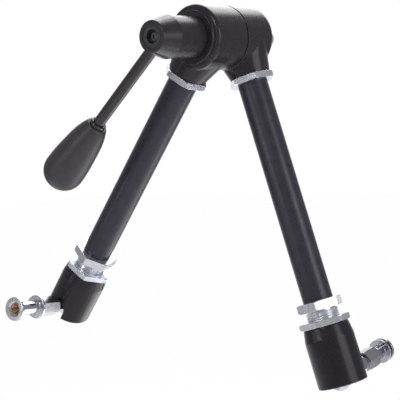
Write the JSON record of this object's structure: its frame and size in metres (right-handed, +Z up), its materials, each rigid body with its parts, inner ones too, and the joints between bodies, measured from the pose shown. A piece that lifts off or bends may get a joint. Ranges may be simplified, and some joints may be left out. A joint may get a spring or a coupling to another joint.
{
  "type": "articulating friction arm",
  "caption": "Jointed support arm for camera gear: two tubes on a lockable elbow, a ball-jointed stud at each end, and one lever that locks every joint together.",
  "frame": {"origin": "middle of the base stud's gripped length, on the stud's axis", "axes": "+Z up as pictured; the elbow turns about Y, with the lever at its -Y end; the arm stands from the base stud towards +X"},
  "size_m": [0.2299, 0.1469, 0.2416],
  "materials": {
    "black_casting": "satin black powder coat on cast aluminium",
    "black_tube": "satin black anodised tube",
    "black_steel": "black finished steel, semi-gloss",
    "zinc": "bright bluish zinc plate",
    "chrome": "polished chrome plate",
    "steel": "plain machined steel",
    "brass": "plain turned brass",
    "handle_black": "fine-grained matt black plastic",
    "nylon": "natural nylon",
    "cap_black": "semi-gloss black plastic"
  },
  "bodies": {
    "base_stud": {"base_stud": "chrome", "base_stud_sleeve": "brass"},
    "base_ball": {"base_ball": "chrome"},
    "front_arm": {"front_elbow_casting": "black_casting", "front_upper_lock_nut": "zinc", "front_tube": "black_tube", "front_rod_guide": "nylon", "front_end_fitting": "zinc", "front_lower_lock_nut": "zinc", "front_ball_socket": "black_casting", "front_ball_seat": "steel", "front_seat_spring": "steel", "friction_washer": "cap_black"},
    "front_clamp": {"front_wedge": "steel", "thrust_washer": "steel", "wedge_spring": "steel"},
    "lever": {"knob": "black_steel", "knob_cap": "cap_black", "knob_screw": "black_steel", "lever_rod": "black_steel", "lever_collar": "black_steel", "handle": "handle_black", "handle_insert": "brass"},
    "front_rod": {"front_push_rod": "steel"},
    "rear_arm": {"rear_elbow_casting": "black_casting", "rear_upper_lock_nut": "zinc", "rear_tube": "black_tube", "rear_rod_guide": "nylon", "rear_end_fitting": "zinc", "rear_lower_lock_nut": "zinc", "rear_ball_socket": "black_casting", "rear_ball_seat": "steel", "rear_seat_spring": "steel"},
    "rear_clamp": {"tie_bolt": "zinc", "cap_nut": "zinc", "rear_wedge": "steel"},
    "rear_rod": {"rear_push_rod": "steel"},
    "head_ball": {"head_ball": "chrome"},
    "head_stud": {"head_stud": "chrome", "head_stud_sleeve": "brass"}
  },
  "joints": [
    {"name": "base_swivel", "type": "hinge", "parent": "base_stud", "child": "base_ball", "pos_m": [-0.00423, 0.04559, -0.00534], "axis": [0.0918, -0.989, 0.1158], "continuous": true},
    {"name": "base_tilt", "type": "hinge", "parent": "base_ball", "child": "front_arm", "pos_m": [-0.00423, 0.04559, -0.00534], "axis": [-0.7837, 0, 0.6211], "range_deg": [0, 98.5]},
    {"name": "elbow_turn", "type": "hinge", "parent": "front_arm", "child": "rear_arm", "pos_m": [0.13273, 0.06229, 0.16746], "axis": [0, 1, 0], "continuous": true},
    {"name": "front_clamp_slide", "type": "slide", "parent": "front_arm", "child": "front_clamp", "axis": [0, -1, 0], "range_m": [0, 0.00044]},
    {"name": "lever_turn", "type": "hinge", "parent": "front_clamp", "child": "lever", "pos_m": [0.13273, 0.06229, 0.16746], "axis": [0, -1, 0], "range_deg": [0, 180]},
    {"name": "front_rod_slide", "type": "slide", "parent": "front_arm", "child": "front_rod", "axis": [0.6211, 0, 0.7837], "range_m": [0, 0.00026]},
    {"name": "rear_clamp_slide", "type": "slide", "parent": "rear_arm", "child": "rear_clamp", "axis": [0, 1, 0], "range_m": [0, 0.00044]},
    {"name": "rear_rod_slide", "type": "slide", "parent": "rear_arm", "child": "rear_rod", "axis": [-0.2807, 0, 0.9598], "range_m": [0, 0.00026]},
    {"name": "head_tilt", "type": "hinge", "parent": "rear_arm", "child": "head_ball", "pos_m": [0.19462, 0.07899, -0.04417], "axis": [-0.9598, 0, -0.2807], "range_deg": [0, 95]},
    {"name": "head_swivel", "type": "hinge", "parent": "head_ball", "child": "head_stud", "pos_m": [0.19462, 0.07899, -0.04417], "axis": [-0.0245, 0.9962, 0.0837], "continuous": true}
  ],
  "couplings": [
    {"joint": "front_clamp_slide", "follows": "lever_turn", "m_per_rad": 0.00013926},
    {"joint": "rear_clamp_slide", "follows": "lever_turn", "m_per_rad": 0.00013926},
    {"joint": "front_rod_slide", "follows": "lever_turn", "m_per_rad": 0.000080402},
    {"joint": "rear_rod_slide", "follows": "lever_turn", "m_per_rad": 0.000080402}
  ]
}
